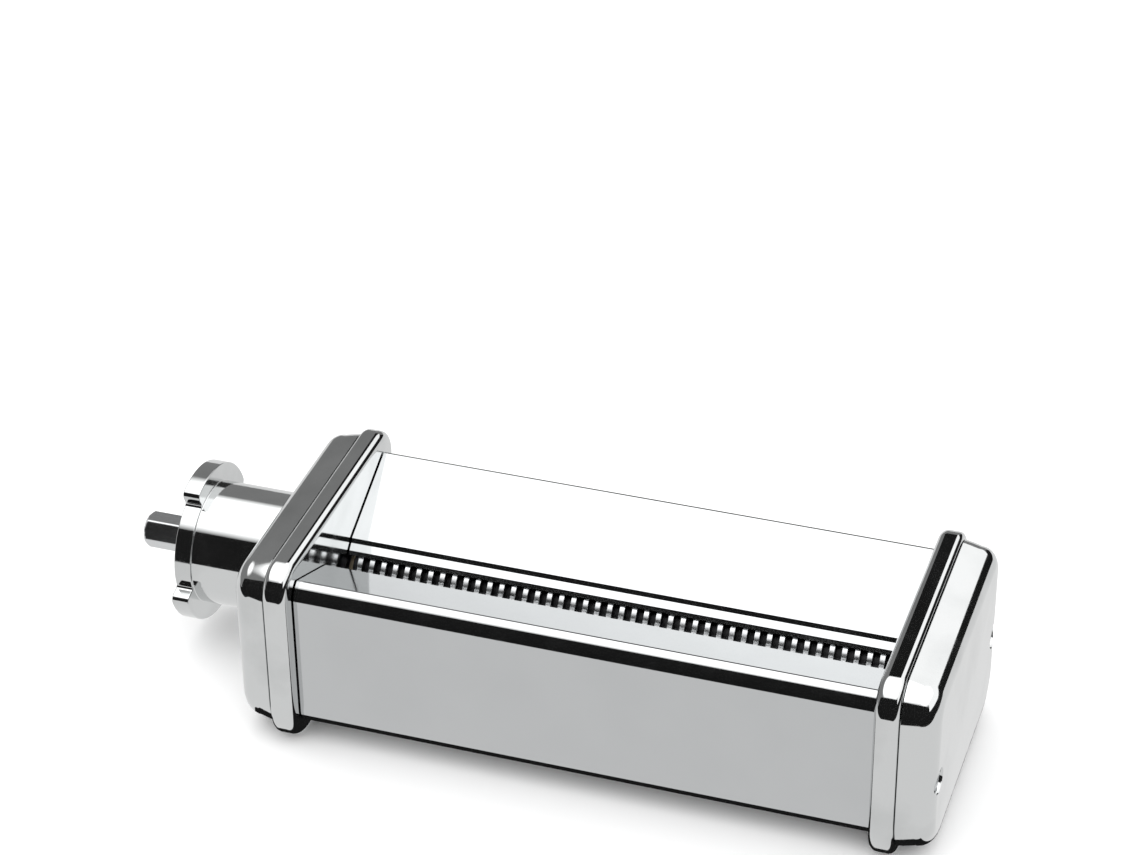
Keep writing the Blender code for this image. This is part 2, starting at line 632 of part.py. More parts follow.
def make_clips(place, y):
    """Retaining clips in the shaft's grooves."""
    bore = SHAFT_RADIUS - CLIP_GROOVE + GAP
    far_clip = FAR_WALL_X + WEB + FAR_CLIP_GAP + GAP
    spans = (("gear", CLIP_X - CLIP_WIDTH), ("far", far_clip))
    for end, low in spans:
        clip = turned([(low, CLIP_RADIUS), (low + CLIP_WIDTH, CLIP_RADIUS)], 16, y, ROLLER_Z, bore=bore)
        add_object(f"{place}_{end}_clip", clip, ZINC, origin=(MIDDLE_X, y, ROLLER_Z))


def build():
    clear_scene()
    make_casing("front_casing", -1)
    make_casing("rear_casing", 1)
    make_frame("hub_side_frame", -1, HUB_WALL_X, HUB_BAND_X)
    make_frame("far_side_frame", 1, FAR_WALL_X, FAR_BAND_X)
    make_hub_cover()
    make_cover("far_side_cover", 1, FAR_BAND_X)
    make_hub()
    make_screws()
    make_rods()
    make_bushes()
    make_comb("front_comb", -1)
    make_comb("rear_comb", 1)
    make_roller("rear_cutting_roller", REAR_RINGS, AXIS_HALF)
    make_roller("front_cutting_roller", FRONT_RINGS, -AXIS_HALF)
    make_shafts()
    make_gear("rear_gear", AXIS_HALF, 0)
    make_gear("front_gear", -AXIS_HALF, pi / TEETH)
    make_clips("rear", AXIS_HALF)
    make_clips("front", -AXIS_HALF)


build()
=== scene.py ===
"""Looks of the pasta cutter attachment: a chromed housing, ringed rollers and a hexagonal drive shaft.

Every piece below is a fine version of one CAD node, rides on that node's body and stands for it. The
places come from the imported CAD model. Metres, +Z up, +Y to the back, +X from the hub to the far end.
"""
import json
from math import acos, atan2, cos, degrees, pi, radians, sin, sqrt, tan

import bmesh
import bpy
from mathutils import Matrix, Vector


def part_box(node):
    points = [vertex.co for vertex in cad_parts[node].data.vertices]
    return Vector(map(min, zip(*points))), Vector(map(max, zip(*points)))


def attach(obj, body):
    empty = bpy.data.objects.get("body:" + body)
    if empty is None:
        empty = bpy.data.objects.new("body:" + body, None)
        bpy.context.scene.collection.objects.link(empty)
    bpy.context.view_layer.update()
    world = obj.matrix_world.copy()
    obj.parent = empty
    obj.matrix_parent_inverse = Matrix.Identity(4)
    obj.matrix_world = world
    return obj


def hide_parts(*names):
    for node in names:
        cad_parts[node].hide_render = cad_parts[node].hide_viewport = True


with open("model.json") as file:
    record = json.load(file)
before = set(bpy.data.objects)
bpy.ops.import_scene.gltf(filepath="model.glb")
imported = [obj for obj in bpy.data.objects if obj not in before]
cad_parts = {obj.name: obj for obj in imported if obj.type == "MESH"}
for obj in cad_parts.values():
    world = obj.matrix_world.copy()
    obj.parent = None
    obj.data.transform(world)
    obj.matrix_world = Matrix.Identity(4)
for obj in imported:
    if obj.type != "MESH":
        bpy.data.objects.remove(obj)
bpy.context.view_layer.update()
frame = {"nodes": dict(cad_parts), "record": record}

RECORD = frame["record"]

# Places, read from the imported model
CASING_LOW, CASING_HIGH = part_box("rear_casing")
HUB_FRAME_LOW, HUB_FRAME_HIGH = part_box("hub_side_frame")
FAR_FRAME_LOW, FAR_FRAME_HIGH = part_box("far_side_frame")
COVER_LOW, COVER_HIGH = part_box("far_side_cover")
HUB_COVER_LOW, HUB_COVER_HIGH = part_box("hub_side_cover")
BARREL_LOW, BARREL_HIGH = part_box("hub_barrel")
SHAFT_LOW, SHAFT_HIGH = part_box("drive_shaft")
PLAIN_SHAFT_LOW, PLAIN_SHAFT_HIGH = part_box("front_roller_shaft")
JOINT_PLACES = {joint["child"]: Vector(joint["pos_m"]) for joint in RECORD["behaviour"]["joints"]}
AXIS_HALF = JOINT_PLACES["rear_roller"].y
AXIS_Z = JOINT_PLACES["rear_roller"].z
MIDDLE_X = JOINT_PLACES["rear_roller"].x
FLOOR_Z = HUB_FRAME_LOW.z

# Fits and small edges
GAP = 0.0003                # between pieces that touch
CLEARANCE = 0.0001          # between a shaft and its bush
PLAY = 0.0002               # between a shaft and its roller, and between a rod and its nut
PAST = 0.001                # how far a cutter reaches past the face it opens
HAIR_EDGE = 0.0001
FINE_EDGE = 0.0002
SOFT_EDGE = 0.0003
BROAD_EDGE = 0.0004
ROUND = 96                  # segments of a large round surface
SMALL_ROUND = 48

# Casing sheet
SHEET = 0.0008
ROLL_RADIUS = 0.005
ROLL_STEPS = 24
CREASE_INSET = 0.0029       # from the casing's face to the fold above the trough's slope
CREASE_ROUNDING = 0.0011
FOLD_REACH = 0.0006         # length of the rolled edge that is left to the fold's rounding
BOTTOM_RADIUS = 0.0045
RETURN_HALF = 0.018         # half the width of the opening between the bottom returns
SLOT_EDGE = (0.00327, 0.0131, 0.0002)   # where a slope turns into its lip: y, depth below the top, rounding
LIP_END = (0.0027, 0.014, 0)
FRONT_BEND = (0.0114, 0.0074, 0.0004)   # where the front slope turns steeper
STEP_TOP = (0.0053, 0.0108, 0.0002)     # upper edge of the step in the rear slope
STEP_FOOT = (0.0047, 0.01183, 0.0002)

# End frames and covers
BAND_TOP_CORNER = 0.0075
BAND_BOTTOM_CORNER = 0.0095
BAND_INNER_EDGE = 0.0021
BAND_OUTER_EDGE = 0.0016
WEB = 0.0025
POCKET_HALF = 0.0255
POCKET_LOW = 0.007
POCKET_HIGH = 0.043
POCKET_CORNER = 0.0048
SCREW_HOLE = 0.0017
SCREW_HOLE_DEPTH = 0.005
COVER_TOP_CORNER = 0.008
COVER_BOTTOM_CORNER = 0.0115
CORNER_SHARE = 0.9          # how fast a cover's corner radius shrinks as its outline draws in
COVER_EDGE = 0.0045
COVER_WALL = 0.002
COVER_CHAMFER = 0.003       # inside a cover, between its flank and its floor
SEAM = 0.0002               # how far a cover's rim comes closer to its frame than in the CAD model
COVER_CROWN = 0.0003
COVER_DRAFT = 0.0008        # how far the flanks draw in before the end face's rounding
COVER_BOW = 1.25            # power of the flanks' curve, where 1 is straight
SHAFT_HOLE = 0.007          # in the hub side cover
SCREW_Y = 0.0282
SCREW_Z = 0.0228
WELL_DEPTH = 0.0025
WELL_RADIUS = 0.003
WELL_FLARE = 0.0007         # how much wider the well is at its mouth
FLARE_DEPTH = 0.0014

# Hub. The hexagon's chamfer and the centre hole are (distance from the tip, radius).
FLANGE_WIDTH = 0.0043
FLANGE_RADIUS = 0.0157
BARREL_RADIUS = 0.0152
LUG_RADIUS = 0.0197
LUG_MIDDLE = 65             # degrees from +Y towards +Z, of the upper lug
LUG_SPAN = 98               # degrees that a lug covers
LUG_STEPS = 24
LUG_EDGE = 0.00025
LUG_FOOT = 0.0009           # rounding where a lug rises from the flange
LUG_TIP = 0.0016
LUG_FREE = 0.0024           # length of an arc that is left to the rounding at its end
BORE_RADIUS = 0.0063
SEAT_RADIUS = 0.0083
SEAT_DEPTH = 0.0095
SEAT_RIM = 0.001            # width of the flat ring round the seat's mouth
HUB_BUSH_RADIUS = 0.008
HUB_BUSH_FACE = 0.0075      # radius at which its outline starts on the end face
HUB_BUSH_LENGTH = 0.0088
HUB_BUSH_INSET = 0.0004     # from the flange's face to the bush
JOURNAL_RADIUS = 0.0049
JOURNAL_LENGTH = 0.0105
HEX_FLATS = 0.008
HEX_CORNER = 0.00452        # the hexagon's corners are turned down to this radius
HEX_CHAMFER = ((0, 0.0036), (0.0003, 0.0039), (0.0006, 0.0042), (0.0009, HEX_CORNER))
CENTRE_HOLE = ((0.0016, 0.0001), (0.0008, 0.0008), (0, 0.0013))

# Screws and rods. A face share is the part of a radius at which the outline starts on the end face.
HEAD_THICKNESS = 0.0014
HEAD_DOME = 0.0006
HEAD_FACE = 0.55
SHANK_RADIUS = 0.0014
SHANK_CHAMFER = 0.0004
SHANK_FACE = 0.7
RECESS_REACH = 0.5          # half length of the cross recess over the head's radius
RECESS_SLOT = 0.22          # a slot's width over its length
RECESS_FLOOR = 0.45         # the recess's size at its floor over its size at its mouth
RECESS_DEPTH = 0.0009
ROD_HEAD = 1.6              # a rod's head over the rod
ROD_HEAD_LENGTH = 0.003
ROD_HEAD_EDGE = 0.0006
ROD_FACE = 0.6
NUT_CHAMFER = 0.0004
NUT_FACE = 0.9

# Bushes and clips, with the radii at which their outlines start on the end faces
BUSH_RADIUS = 0.006
BUSH_FACE = 0.0052
BUSH_FLANGE = 0.0072
BUSH_FLANGE_FACE = 0.0064
BUSH_FLANGE_WIDTH = 0.0008
CLIP_RADIUS = 0.006
CLIP_FACE = 0.005

# Rollers, shafts, combs
SHAFT_RADIUS = 0.004
SHAFT_END_RADIUS = 0.0038   # outside the clip grooves
CLIP_GROOVE = 0.0008
GEAR_HEX_FLATS = 0.007
RING_PITCH = 0.003
RING_WIDTH = 0.0013
RING_RADIUS = 0.0094
RING_EDGE = 0.00008
GROOVE_RADIUS = 0.0072
RING_COUNTS = {"rear_cutting_roller": 45, "front_cutting_roller": 46}
COMB_ROOT = 0.0054          # from a roller's axis to the roots of its comb's fingers
COMB_FINGER = 0.0009
COMB_TAPER = 0.8            # a finger's width at its tip over its width at its root

# Textures of the metals. A noise is (scale per metre, detail), and a range is cut out of its 0 to 1.
PATCHES = (55, 4)
PATCH_RANGE = (0.42, 0.72)
PATCH_TONE = 0.6            # share of the dull tone in a full patch
SMUDGES = (130, 5)
SMUDGE_RANGE = (0.5, 0.75)
GRAIN = (2600, 3)
GRAIN_RANGE = (0.3, 0.7)
GRAIN_SPREAD = 0.2          # how far the grain moves the roughness up and down, as a share
WORN_RANGE = (0.53, 0.62)   # of an edge's pointiness
WORN_TONE = 0.3
WORN_ROUGHNESS = 0.06
EVEN = (1, 1, 1)
ALONG_X = (0.08, 1, 1)      # draws a noise out along the pieces' length

# Each finish, and the painted shade of the roller grooves: its bright and its dull tone, then its roughness
# and what smudges add to it, the depths of the grain and of the slow waves, the waves' size in metres, and
# the noises' stretch
FINISHES = {
    "chromed_sheet": ((0.575, 0.585, 0.59), (0.55, 0.56, 0.565),
                      0.035, 0.05, 0.0000002, 0.000006, 0.035, EVEN),
    "chromed_casting": ((0.68, 0.69, 0.69), (0.50, 0.51, 0.51),
                        0.06, 0.07, 0.0000006, 0.00001, 0.02, EVEN),
    "polished_steel": ((0.66, 0.67, 0.68), (0.55, 0.56, 0.57),
                       0.16, 0.1, 0.0000015, 0.000004, 0.01, ALONG_X),
    "spring_steel": ((0.50, 0.51, 0.52), (0.41, 0.42, 0.43),
                     0.24, 0.1, 0.000002, 0.000004, 0.02, ALONG_X),
    "zinc_plated_steel": ((0.50, 0.51, 0.52), (0.39, 0.40, 0.42),
                          0.28, 0.12, 0.000003, 0.000004, 0.01, EVEN),
    "bronze": ((0.33, 0.27, 0.19), (0.24, 0.20, 0.14),
               0.35, 0.15, 0.000006, 0.000004, 0.01, EVEN),
    # The roller grooves: a near-black tone that paints the shade deep between the rings, not a steel of its
    # own
    "painted_groove_shade": ((0.04, 0.04, 0.042), (0.025, 0.025, 0.027),
                     0.38, 0.15, 0.000003, 0.000004, 0.01, ALONG_X),
}

# Studio. Azimuths count from 0 at the back to 90 at +X, and a dome stop is (place on the ramp, grey).
FLOOR_SIZE = 6.0
FLOOR_GREY = 0.93
FLOOR_ROUGHNESS = 0.7
WORLD_STRENGTH = 2.17
WORLD_GREY = 0.66           # of the dome, for anything but reflections
DOME_STOPS = ((0.68, 0.114), (0.82, 1))
CARD_STRENGTHS = {"black card": 0.012, "white card": 1.35, "floor glow": 0.84}
UPRIGHT_CARDS = (           # name, azimuths, elevations, distance, material
    ("rear softbox", (2, 70), (22, 52), 1.1, "white card"),
    ("rear softbox", (70, 130), (22, 52), 1.1, "white card"),
    ("rear low flag", (14, 70), (0, 22), 1.1, "black card"),
    ("rear low flag", (70, 130), (0, 22), 1.1, "black card"),
    ("rear flag", (-20, 2), (24, 48), 1.0, "black card"),
)
GLOW_HALF = 3
GLOW_LIFT = 0.0002          # of the glowing card above the floor
SHADE_REACH = 0.003         # how far the shade reaches past the casings
SHADE_LIFT = 0.0005
FLAG_HALF = 1.6             # half the width of the flags in front
FLAG_LIFT = 0.001
FLAG_NEAR_Y = -0.11
FLAG_FAR_Y = -0.8
FLAG_ELEVATION = 48
LIGHT_PLACE = (-0.3, -0.2, 1.5)
LIGHT_SIZE = (1.6, 1.2)
LIGHT_POWER = 4

# Camera
CAMERA_PLACE = (0.20693, -0.58758, 0.48559)
CAMERA_AZIMUTH = radians(18.07)
CAMERA_ELEVATION = radians(32.96)
CAMERA_ROLL = radians(-0.42)
CAMERA_SHIFT = (-0.0227, -0.0094)
LENS = 102.88
SENSOR = 36


# Shapes. An outline is a list of (y, z) points, and a section is an outline at an x.

def quarter(steps):
    """Angles from zero to a right angle."""
    return [pi / 2 * step / steps for step in range(steps + 1)]


def circle(radius, count, y, z, turn=0.0):
    angles = [turn + 2 * pi * k / count for k in range(count)]
    return [(y + radius * cos(a), z + radius * sin(a)) for a in angles]


def hexagon(flats, corner_radius, count, y, z):
    """A hexagon with flats at its top and bottom and its corners turned down to a radius."""
    points = []
    for k in range(count):
        angle = 2 * pi * k / count
        from_flat = (angle + pi / 6) % (pi / 3) - pi / 6
        radius = min(flats / 2 / cos(from_flat), corner_radius)
        points.append((y + radius * cos(angle + pi / 2), z + radius * sin(angle + pi / 2)))
    return points


def rounded_rectangle(half_y, low_z, high_z, top_radius, bottom_radius, steps=14):
    corners = [(half_y - top_radius, high_z - top_radius, top_radius, 0),
               (top_radius - half_y, high_z - top_radius, top_radius, 90),
               (bottom_radius - half_y, low_z + bottom_radius, bottom_radius, 180),
               (half_y - bottom_radius, low_z + bottom_radius, bottom_radius, 270)]
    points = []
    for y, z, radius, start in corners:
        for k in range(steps + 1):
            angle = radians(start + 90 * k / steps)
            points.append((y + radius * cos(angle), z + radius * sin(angle)))
    return points


def filleted(corners, steps=8):
    """The line through (y, z, radius) corners, with each corner rounded to its radius."""
    points = []
    for k, (y, z, radius) in enumerate(corners):
        here = Vector((y, z))
        if radius <= 0 or k in (0, len(corners) - 1):
            points.append((y, z))
            continue
        back = (Vector(corners[k - 1][:2]) - here).normalized()
        ahead = (Vector(corners[k + 1][:2]) - here).normalized()
        half = back.angle(ahead) / 2
        centre = here + (back + ahead).normalized() * (radius / sin(half))
        first = here + back * (radius / tan(half)) - centre
        last = here + ahead * (radius / tan(half)) - centre
        start = atan2(first.y, first.x)
        sweep = (atan2(last.y, last.x) - start + pi) % (2 * pi) - pi
        for step in range(steps + 1):
            angle = start + sweep * step / steps
            points.append((centre.x + radius * cos(angle), centre.y + radius * sin(angle)))
    return points


def offset_corners(corners, distance):
    """The corners moved to the left of the line's direction, with their radii changed to match."""
    moved = []
    for k, (y, z, radius) in enumerate(corners):
        before = Vector(corners[max(k - 1, 0)][:2])
        here = Vector((y, z))
        after = Vector(corners[min(k + 1, len(corners) - 1)][:2])
        first = (here - before) if k else (after - here)
        second = (after - here) if k < len(corners) - 1 else first
        first.normalize()
        second.normalize()
        normals = Vector((-first.y - second.y, first.x + second.x)).normalized()
        reach = distance / normals.dot(Vector((-first.y, first.x)))
        turns_left = first.x * second.y - first.y * second.x > 0
        inner_radius = radius - distance if turns_left else radius + distance
        moved.append((y + normals.x * reach, z + normals.y * reach, max(inner_radius, 0) if radius else 0))
    return moved


def inset_outline(points, distance):
    """A closed outline moved inwards by a small distance."""
    moved = []
    for k, (y, z) in enumerate(points):
        before, after = points[k - 1], points[(k + 1) % len(points)]
        along = Vector((after[0] - before[0], after[1] - before[1])).normalized()
        moved.append((y - along.y * distance, z + along.x * distance))
    return moved


def loft(sections, closed=False):
    """Join sections of equal point counts. A closed loft runs back to its start."""
    made = bmesh.new()
    rings = [[made.verts.new((x, y, z)) for y, z in outline] for x, outline in sections]
    pairs = list(zip(rings, rings[1:]))
    if closed:
        pairs.append((rings[-1], rings[0]))
    for first, second in pairs:
        count = len(first)
        for k in range(count):
            after = (k + 1) % count
            made.faces.new((first[k], first[after], second[after], second[k]))
    if not closed:
        made.faces.new(rings[0])
        made.faces.new(rings[-1])
    bmesh.ops.recalc_face_normals(made, faces=made.faces)
    return made


def turned(profile, count, y, z, bore=None):
    """A solid turned about the X line through (y, z). The profile is a list of (x, radius)."""
    sections = [(x, circle(radius, count, y, z)) for x, radius in profile]
    if bore is None:
        return loft(sections)
    inner = [(profile[-1][0], circle(bore, count, y, z)), (profile[0][0], circle(bore, count, y, z))]
    return loft(sections + inner, closed=True)


# Pieces

def body_of(node):
    return next(body for body, nodes in RECORD["behaviour"]["bodies"].items() if node in nodes)


def slot_of(node):
    return next(part["material_slot"] for part in RECORD["subparts"] if part["node"] == node)


def add_mesh_object(name, shape):
    mesh = bpy.data.meshes.new(name)
    shape.to_mesh(mesh)
    shape.free()
    made = bpy.data.objects.new(name, mesh)
    bpy.context.scene.collection.objects.link(made)
    return made


def cut(piece, shapes):
    """Take the shapes out of the piece for good."""
    cutters = [add_mesh_object("cutter", shape) for shape in shapes]
    for cutter in cutters:
        boolean = piece.modifiers.new("cut", "BOOLEAN")
        boolean.operation = "DIFFERENCE"
        boolean.solver = "EXACT"
        boolean.object = cutter
    evaluated = piece.evaluated_get(bpy.context.evaluated_depsgraph_get())
    mesh = bpy.data.meshes.new_from_object(evaluated)
    piece.modifiers.clear()
    piece.data = mesh
    for cutter in cutters:
        bpy.data.objects.remove(cutter, do_unlink=True)


def add_piece(node, shape, cutters=(), sharp_angle=32):
    """A fine piece that stands for a CAD node, on its body and with its slot's material."""
    piece = add_mesh_object(node + "_piece", shape)
    if cutters:
        cut(piece, cutters)
    piece.data.materials.clear()
    piece.data.materials.append(MATERIALS[slot_of(node)])
    piece.data.shade_smooth()
    piece.data.set_sharp_from_angle(angle=radians(sharp_angle))
    weighted = piece.modifiers.new("flat faces stay flat", "WEIGHTED_NORMAL")
    weighted.keep_sharp = True
    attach(piece, body_of(node))
    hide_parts(node)
    return piece


# Materials

def noise(tree, coordinates, scale, detail, stretch=EVEN):
    """A noise in the object's own metres. A stretch below 1 draws it out along that axis."""
    mapping = tree.nodes.new("ShaderNodeMapping")
    mapping.inputs["Scale"].default_value = stretch
    tree.links.new(coordinates, mapping.inputs["Vector"])
    texture = tree.nodes.new("ShaderNodeTexNoise")
    texture.inputs["Scale"].default_value = scale
    texture.inputs["Detail"].default_value = detail
    tree.links.new(mapping.outputs["Vector"], texture.inputs["Vector"])
    return texture.outputs["Fac"]


def ranged(tree, value, low, high, to_low, to_high):
    node = tree.nodes.new("ShaderNodeMapRange")
    for socket, number in zip(("From Min", "From Max", "To Min", "To Max"), (low, high, to_low, to_high)):
        node.inputs[socket].default_value = number
    tree.links.new(value, node.inputs["Value"])
    return node.outputs["Result"]


def combined(tree, operation, first, second):
    node = tree.nodes.new("ShaderNodeMath")
    node.operation = operation
    for socket, value in zip(node.inputs, (first, second)):
        if isinstance(value, (int, float)):
            socket.default_value = value
        else:
            tree.links.new(value, socket)
    return node.outputs["Value"]


def bumped(tree, height, distance, before=None):
    node = tree.nodes.new("ShaderNodeBump")
    node.inputs["Strength"].default_value = 1
    node.inputs["Distance"].default_value = distance
    tree.links.new(height, node.inputs["Height"])
    if before:
        tree.links.new(before, node.inputs["Normal"])
    return node.outputs["Normal"]


def metal(name, colour, dull, roughness, smudge, grain, waves, wave_size, stretch):
    """A metal: tone changes over centimetres, smudges, fine grain, worn edges and slow waves."""
    made = bpy.data.materials.new(name)
    made.use_nodes = True
    tree = made.node_tree
    shader = tree.nodes["Principled BSDF"]
    shader.inputs["Metallic"].default_value = 1
    coordinates = tree.nodes.new("ShaderNodeTexCoord").outputs["Object"]
    tone = tree.nodes.new("ShaderNodeMix")
    tone.data_type = "RGBA"
    tone.inputs["A"].default_value = (*colour, 1)
    tone.inputs["B"].default_value = (*dull, 1)
    edges = tree.nodes.new("ShaderNodeNewGeometry").outputs["Pointiness"]
    worn = ranged(tree, edges, *WORN_RANGE, 0, 1)
    patches = ranged(tree, noise(tree, coordinates, *PATCHES, stretch), *PATCH_RANGE, 0, PATCH_TONE)
    worn_tone = combined(tree, "MULTIPLY", worn, WORN_TONE)
    tree.links.new(combined(tree, "ADD", patches, worn_tone), tone.inputs["Factor"])
    tree.links.new(tone.outputs["Result"], shader.inputs["Base Color"])
    fine = noise(tree, coordinates, *GRAIN, stretch)
    smudges = ranged(tree, noise(tree, coordinates, *SMUDGES), *SMUDGE_RANGE, 0, smudge)
    spread = roughness * GRAIN_SPREAD
    base = ranged(tree, fine, *GRAIN_RANGE, roughness - spread, roughness + spread)
    worn_roughness = combined(tree, "MULTIPLY", worn, WORN_ROUGHNESS)
    rough = combined(tree, "ADD", combined(tree, "ADD", base, smudges), worn_roughness)
    tree.links.new(rough, shader.inputs["Roughness"])
    slow = bumped(tree, noise(tree, coordinates, 1 / wave_size, 1), waves)
    tree.links.new(bumped(tree, fine, grain, slow), shader.inputs["Normal"])
    return made


MATERIALS = {slot: metal(slot.replace("_", " "), *finish) for slot, finish in FINISHES.items()}


# Casing

def casing_corners(side):
    """A casing's outer line: return, face, rolled edge, fold, trough slope, lip. side is -1 at the front."""
    face_y = CASING_HIGH.y
    roll_angle = acos(1 - CREASE_INSET / ROLL_RADIUS)
    roll_z = CASING_HIGH.z - ROLL_RADIUS * sin(roll_angle)
    top_z = roll_z + ROLL_RADIUS
    corners = [(RETURN_HALF, CASING_LOW.z, 0), (face_y, CASING_LOW.z, BOTTOM_RADIUS)]
    for step in range(ROLL_STEPS):
        angle = (roll_angle - FOLD_REACH / ROLL_RADIUS) * step / (ROLL_STEPS - 1)
        corners.append((face_y + ROLL_RADIUS * (cos(angle) - 1), roll_z + ROLL_RADIUS * sin(angle), 0))
    corners.append((face_y - CREASE_INSET, CASING_HIGH.z, CREASE_ROUNDING))
    slope = ([STEP_TOP, STEP_FOOT] if side > 0 else [FRONT_BEND]) + [SLOT_EDGE, LIP_END]
    return corners + [(y, top_z - depth, rounding) for y, depth, rounding in slope]


def make_casing(node, side):
    corners = casing_corners(side)
    outline = filleted(corners) + filleted(offset_corners(corners, SHEET))[::-1]
    outline = [(side * y, z) for y, z in outline]
    low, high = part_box(node)
    add_piece(node, loft([(low.x, outline), (high.x, outline)]))


# End frames and covers

def rod_place(node):
    """(y, z, radius) of a tie rod or comb rod, from its CAD box, which its head fills."""
    low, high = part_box(node)
    return (low.y + high.y) / 2, (low.z + high.z) / 2, (high.z - low.z) / 2 / ROD_HEAD


def band_outline(inset):
    low, high = HUB_FRAME_LOW, HUB_FRAME_HIGH
    return rounded_rectangle(high.y - inset, low.z + inset, high.z - inset,
                             BAND_TOP_CORNER - inset, BAND_BOTTOM_CORNER - inset)


def frame_cutters(side, wall_x, band_x):
    """The holes of an end frame: for the rods and bushes through its web, for the screws into its band."""
    through = (wall_x - side * PAST, wall_x + side * (WEB + PAST))
    blind = (band_x - side * SCREW_HOLE_DEPTH, band_x + side * PAST)
    cutters = []
    for place, way in (("front", -1), ("rear", 1)):
        tie_y, tie_z, tie_radius = rod_place(f"{place}_tie_rod")
        comb_y, comb_z, comb_radius = rod_place(f"{place}_comb_rod")
        holes = [(through, tie_radius + GAP, tie_y, tie_z),
                 (through, comb_radius + GAP, comb_y, comb_z),
                 (through, BUSH_RADIUS + GAP, way * AXIS_HALF, AXIS_Z),
                 (blind, SCREW_HOLE, way * SCREW_Y, SCREW_Z)]
        for span, radius, y, z in holes:
            cutters.append(turned([(x, radius) for x in span], SMALL_ROUND, y, z))
    return cutters


def make_frame(node, side, wall_x, band_x):
    """An end frame: a band with rounded edges round a web that carries the bushes."""
    sections = []
    for angle in quarter(10):
        sections.append((wall_x + side * BAND_INNER_EDGE * (1 - cos(angle)),
                         band_outline(BAND_INNER_EDGE * (1 - sin(angle)))))
    for angle in quarter(10):
        sections.append((band_x - side * BAND_OUTER_EDGE * (1 - sin(angle)),
                         band_outline(BAND_OUTER_EDGE * (1 - cos(angle)))))
    pocket = rounded_rectangle(POCKET_HALF, POCKET_LOW, POCKET_HIGH, POCKET_CORNER, POCKET_CORNER)
    sections += [(band_x, pocket), (wall_x + side * WEB, pocket)]
    add_piece(node, loft(sections), frame_cutters(side, wall_x, band_x))


def cover_outline(inset):
    low, high = COVER_LOW, COVER_HIGH
    return rounded_rectangle(high.y - inset, low.z + inset, high.z - inset,
                             COVER_TOP_CORNER - inset * CORNER_SHARE,
                             COVER_BOTTOM_CORNER - inset * CORNER_SHARE)


def cover_sections(side, rim_x, end_x):
    """A hollow cap: inside, rim, flank, rounded edge, and an end face that is slightly crowned."""
    rim_x -= side * SEAM
    floor_x = end_x - side * COVER_WALL
    shoulder_x = end_x - side * COVER_CROWN
    sections = [(floor_x, cover_outline(COVER_WALL + COVER_CHAMFER)),
                (floor_x - side * COVER_CHAMFER, cover_outline(COVER_WALL)),
                (rim_x, cover_outline(COVER_WALL)), (rim_x, cover_outline(HAIR_EDGE)),
                (rim_x + side * HAIR_EDGE, cover_outline(0))]
    shares = [step / 8 for step in range(1, 8)]
    flank = abs(end_x - rim_x) - COVER_EDGE
    for share in shares:
        sections.append((rim_x + side * flank * share, cover_outline(COVER_DRAFT * share ** COVER_BOW)))
    for angle in quarter(14):
        inset = COVER_DRAFT + COVER_EDGE * (1 - cos(angle))
        sections.append((shoulder_x - side * (COVER_EDGE - COVER_CROWN) * (1 - sin(angle)),
                         cover_outline(inset)))
    centre_z = (COVER_LOW.z + COVER_HIGH.z) / 2
    edge = cover_outline(COVER_DRAFT + COVER_EDGE)
    for share in shares:
        scale = 1 - share
        outline = [(y * scale, centre_z + (z - centre_z) * scale) for y, z in edge]
        sections.append((shoulder_x + side * COVER_CROWN * (1 - scale ** 2), outline))
    return sections


def well_cutter(side, end_x, y):
    """A screw's well, with a mouth that opens towards the cover's face."""
    mouth_x = end_x + side * HAIR_EDGE
    profile = [(end_x - side * WELL_DEPTH, WELL_RADIUS)]
    for angle in quarter(8):
        profile.append((mouth_x - side * FLARE_DEPTH * (1 - sin(angle)),
                        WELL_RADIUS + WELL_FLARE * (1 - cos(angle))))
    profile.append((end_x + side * 2 * PAST, WELL_RADIUS + WELL_FLARE))
    return turned(profile, SMALL_ROUND, y, SCREW_Z)


def make_cover(node, side, rim_x, end_x, extra_cutters=()):
    wells = [well_cutter(side, end_x, y) for y in (-SCREW_Y, SCREW_Y)]
    add_piece(node, loft(cover_sections(side, rim_x, end_x)), [*extra_cutters, *wells])


def make_covers():
    make_cover("far_side_cover", 1, COVER_LOW.x, COVER_HIGH.x)
    span = (HUB_COVER_LOW.x - PAST, HUB_COVER_LOW.x + COVER_WALL + PAST)
    shaft_hole = turned([(x, SHAFT_HOLE) for x in span], SMALL_ROUND, AXIS_HALF, AXIS_Z)
    make_cover("hub_side_cover", -1, HUB_COVER_HIGH.x, HUB_COVER_LOW.x, [shaft_hole])


# Hub

def lug_outline():
    """The flange seen from its end: a disc with two opposite lugs, rounded at their tips and feet."""
    def place(radius, turn, rounding=0):
        angle = radians(turn)
        return AXIS_HALF + radius * cos(angle), AXIS_Z + radius * sin(angle), rounding

    def arc(radius, start, span):
        """An arc without the stretches that its ends leave to the roundings."""
        free = degrees(LUG_FREE / radius)
        return [place(radius, start + free + (span - 2 * free) * k / LUG_STEPS) for k in range(LUG_STEPS + 1)]

    corners = []
    for turn in (0, 180):
        start = LUG_MIDDLE + turn - LUG_SPAN / 2
        end = start + LUG_SPAN
        corners += arc(FLANGE_RADIUS, end - 180, 180 - LUG_SPAN)
        corners += [place(FLANGE_RADIUS, start, LUG_FOOT), place(LUG_RADIUS, start, LUG_TIP)]
        corners += arc(LUG_RADIUS, start, LUG_SPAN)
        corners += [place(LUG_RADIUS, end, LUG_TIP), place(FLANGE_RADIUS, end, LUG_FOOT)]
    return filleted(corners + corners[:1], 10)[:-1]


